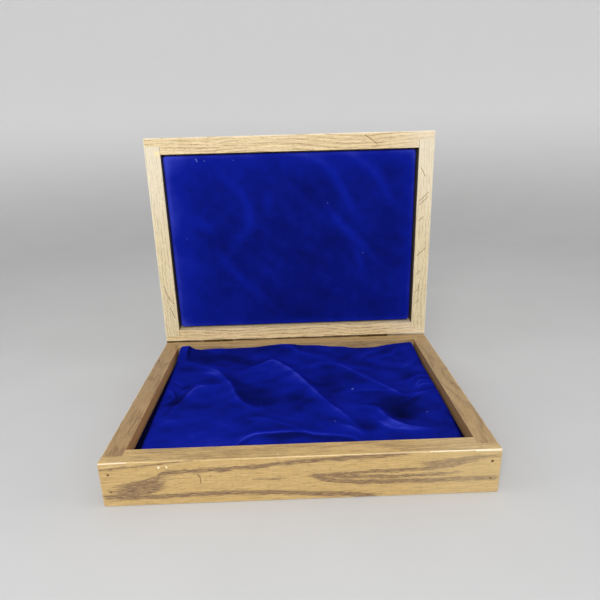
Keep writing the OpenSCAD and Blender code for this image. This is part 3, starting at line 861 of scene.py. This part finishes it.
def right_oak(box, pale_wear_and_highlight):
    # Painted shade: the right board's inner face laid over with a darker tone.
    wall_shading = inner_wall_shading(SIDE_WALL, tone(158, 118, 76), 0.7)
    tones = (tone(191, 161, 113), tone(169, 138, 92), tone(125, 96, 66), pale_wear_and_highlight)
    return oak("right_oak", "y", (172, 100), 4.0, tones, box, 33.0, marks=[wall_shading], banding=0.45)


def lid_rail_oak(box, hole, white_wear_and_highlight):
    """The boards across the lid, with painted shadow along the joint over the hinges and one long scratch."""
    rail_scratch = tone(120, 88, 56)
    marks = [
        # Painted shadow: a dark ragged line along the lower rail's face where it stands over the base's rim,
        # at the hinges.
        spot((0, 130.8, 45.6), 3.4, tone(52, 36, 24), (0, 1, 1), 2.4),
        scratch_and_highlight_line((90, LID_RIM, 305), (100, LID_RIM, 299), 0.6, rail_scratch),
        scratch_and_highlight_line((100, LID_RIM, 299), (105, LID_RIM, 294), 0.5, rail_scratch),
        # Painted glare: a pale patch at the lid's top-left corner.
        spot((-160, LID_RIM, 293), 3, tone(242, 224, 168)),
        fade_along_axis(0, 120, 190, tone(240, 226, 204), 30, 0.5),
        *brad_holes([(y, z) for y in LID_BRADS for z in LID_EDGES], 1.4, hole),
    ]
    tones = (tone(242, 220, 174), tone(224, 198, 148), tone(162, 130, 92), white_wear_and_highlight)
    return oak("lid_rail_oak", "x", (190, 170), 4.2, tones, box, 44.0, marks=marks, banding=0.55, wear_and_highlight=0.6)


def lid_stile_oak(box, white_wear_and_highlight):
    """The boards up the lid's sides, paler towards the top with painted glare, and near black with painted
    shadow where they face the pad.
    """
    marks = [
        # Painted glare: the stiles wash out paler towards the top.
        fade_along_axis(2, 170, 310, tone(240, 232, 218), 30, 0.4),
        # Painted shadow: the stiles' inner faces go near black in the gap around the pad.
        inner_wall_shading(SIDE_WALL, tone(38, 28, 20), 0.9),
        # Painted glare: a pale patch at the lid's top-left corner.
        spot((-160, LID_RIM, 290), 4, tone(242, 224, 168)),
    ]
    for (start_x, start_z), (end_x, end_z) in STROKES:
        stroke = scratch_and_highlight_line((start_x, LID_RIM, start_z), (end_x, LID_RIM, end_z), 0.5, tone(138, 104, 70))
        marks.append(stroke)
    tones = (tone(238, 223, 186), tone(223, 204, 160), tone(188, 164, 122), white_wear_and_highlight)
    return oak("lid_stile_oak", "z", (30, 60), 3.4, tones, box, 57.0, marks=marks, banding=0.4, wear_and_highlight=0.6)


def veneer_oak(box, pale_wear_and_highlight):
    tones = (tone(220, 190, 138), tone(200, 168, 114), tone(154, 122, 84), pale_wear_and_highlight)
    return oak("veneer_oak", "x", (190, 150), 11.0, tones, box, 68.0)


def make_looks(nodes):
    """The material of each board, panel and pad that keeps its CAD shape."""
    base_box = whole_box([name for name in nodes if name.startswith("base_")])
    lid_box = whole_box([name for name in nodes if name.startswith("lid_")])
    pale_wear_and_highlight = tone(250, 236, 206)
    white_wear_and_highlight = tone(250, 242, 222)
    hole = tone(26, 19, 14)
    rails = lid_rail_oak(lid_box, hole, white_wear_and_highlight)
    stiles = lid_stile_oak(lid_box, white_wear_and_highlight)
    return {
        "base_front_board": front_oak(base_box, hole),
        "base_back_board": back_oak(base_box, hole, pale_wear_and_highlight),
        "base_left_board": left_oak(base_box, pale_wear_and_highlight),
        "base_right_board": right_oak(base_box, pale_wear_and_highlight),
        "base_bottom_panel": plywood("bottom_plywood"),
        "base_foam_pad": foam_material("pad_foam"),
        "lid_front_board": rails,
        "lid_back_board": rails,
        "lid_left_board": stiles,
        "lid_right_board": stiles,
        "lid_top_panel": veneer_oak(lid_box, pale_wear_and_highlight),
        "lid_pad_foam": foam_material("lid_foam"),
        "lid_pad_card": card_material("lid_card"),
    }


def dress_nodes(nodes):
    looks = make_looks(nodes)
    brass = metal("aged_brass", tone(104, 82, 48), tone(50, 38, 24), 0.5)
    steel = metal("brad_steel", tone(60, 54, 50), tone(30, 26, 24), 0.5)
    for name, obj in nodes.items():
        if name in ("base_velvet", "lid_velvet"):
            continue
        if "brads" in name:
            paint(obj, steel)
        elif "hinge" in name:
            paint(obj, brass)
        else:
            paint(obj, looks[name])
        if name.endswith("_foam") or name.endswith("_foam_pad"):
            soften(obj, FOAM_ROUND, 4)


# ---- Stage ----

def make_stage():
    """A pale floor that curves up all round, far outside the object."""
    profile = [(0.0, 0.0), (0.5, 0.0), (FLOOR_REACH, 0.0)]
    profile += [
        (FLOOR_REACH + FLOOR_CURVE * math.sin(turn), FLOOR_CURVE - FLOOR_CURVE * math.cos(turn))
        for turn in np.linspace(0.15, math.pi / 2, 10)
    ]
    profile += [(FLOOR_REACH + FLOOR_CURVE, FLOOR_TOP)]
    verts = [
        (radius * math.cos(turn), radius * math.sin(turn), z)
        for radius, z in profile
        for turn in np.linspace(0, 2 * math.pi, FLOOR_SIDES, endpoint=False)
    ]
    faces = []
    for ring in range(len(profile) - 1):
        near, far = ring * FLOOR_SIDES, (ring + 1) * FLOOR_SIDES
        for i in range(FLOOR_SIDES):
            following = (i + 1) % FLOOR_SIDES
            faces.append((near + i, near + following, far + following, far + i))
    obj = mesh_object("floor", verts, faces)
    graph = Graph("floor_paper")
    point = graph.point()
    grey = graph.noise(graph.scaled(point, (0.01,) * 3), 2.0)
    colour = graph.blend(grey, tone(198, 198, 198), tone(204, 204, 204))
    height = graph.rise(graph.split(point)[2], 0, 400)
    graph.set("Base Color", graph.blend(height, colour, tone(246, 246, 246)))
    graph.set("Roughness", 0.9)
    obj.data.materials.append(graph.material)


def area_light(name, place, aim, size, power):
    data = bpy.data.lights.new(name, "AREA")
    data.shape = "RECTANGLE"
    data.size, data.size_y = size
    data.energy = power
    obj = bpy.data.objects.new(name, data)
    obj.location = place
    obj.rotation_euler = (Vector(aim) - Vector(place)).to_track_quat("-Z", "Y").to_euler()
    obj.visible_camera = False
    bpy.context.scene.collection.objects.link(obj)


def make_lights():
    world = bpy.data.worlds.new("soft_room")
    world.use_nodes = True
    background = world.node_tree.nodes["Background"]
    background.inputs["Color"].default_value = (1.0, 1.0, 1.0, 1.0)
    background.inputs["Strength"].default_value = 0.55
    bpy.context.scene.world = world
    middle = (0.0, 0.05, 0.1)
    area_light("key", (-0.15, -1.05, 0.75), middle, (0.6, 0.45), 9)
    area_light("top", (0.2, -0.1, 1.3), middle, (0.8, 0.8), 1)
    area_light("left_side", (-0.95, -0.25, 0.6), middle, (0.3, 0.8), 1.6)
    area_light("right_side", (0.95, -0.25, 0.6), middle, (0.3, 0.8), 1.6)


def make_camera():
    data = bpy.data.cameras.new("camera")
    data.sensor_width = SENSOR_WIDTH
    data.lens = CAMERA_LENS
    down, yaw, roll_angle = (math.radians(a) for a in (CAMERA_DOWN, CAMERA_YAW, CAMERA_ROLL))
    ahead = Vector((math.cos(down) * math.sin(yaw), math.cos(down) * math.cos(yaw), -math.sin(down)))
    level = Vector((math.cos(yaw), -math.sin(yaw), 0))
    above = level.cross(ahead)
    right = level * math.cos(roll_angle) + above * math.sin(roll_angle)
    up = -level * math.sin(roll_angle) + above * math.cos(roll_angle)
    turn = Matrix((right, up, -ahead)).transposed()
    obj = bpy.data.objects.new("camera", data)
    obj.matrix_world = Matrix.Translation(CAMERA_PLACE) @ turn.to_4x4()
    bpy.context.scene.collection.objects.link(obj)
    bpy.context.scene.camera = obj


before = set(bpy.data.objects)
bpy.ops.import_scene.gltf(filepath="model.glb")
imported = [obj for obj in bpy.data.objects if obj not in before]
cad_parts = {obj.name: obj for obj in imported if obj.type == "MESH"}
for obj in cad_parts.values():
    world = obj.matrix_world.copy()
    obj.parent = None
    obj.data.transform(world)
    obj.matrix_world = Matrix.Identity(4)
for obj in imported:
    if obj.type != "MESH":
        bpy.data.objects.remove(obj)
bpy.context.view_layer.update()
bpy.context.scene.view_settings.view_transform = "Standard"
make_camera()
make_stage()
make_lights()
dress_nodes(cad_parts)
make_base_velvet()
make_lid_velvet()
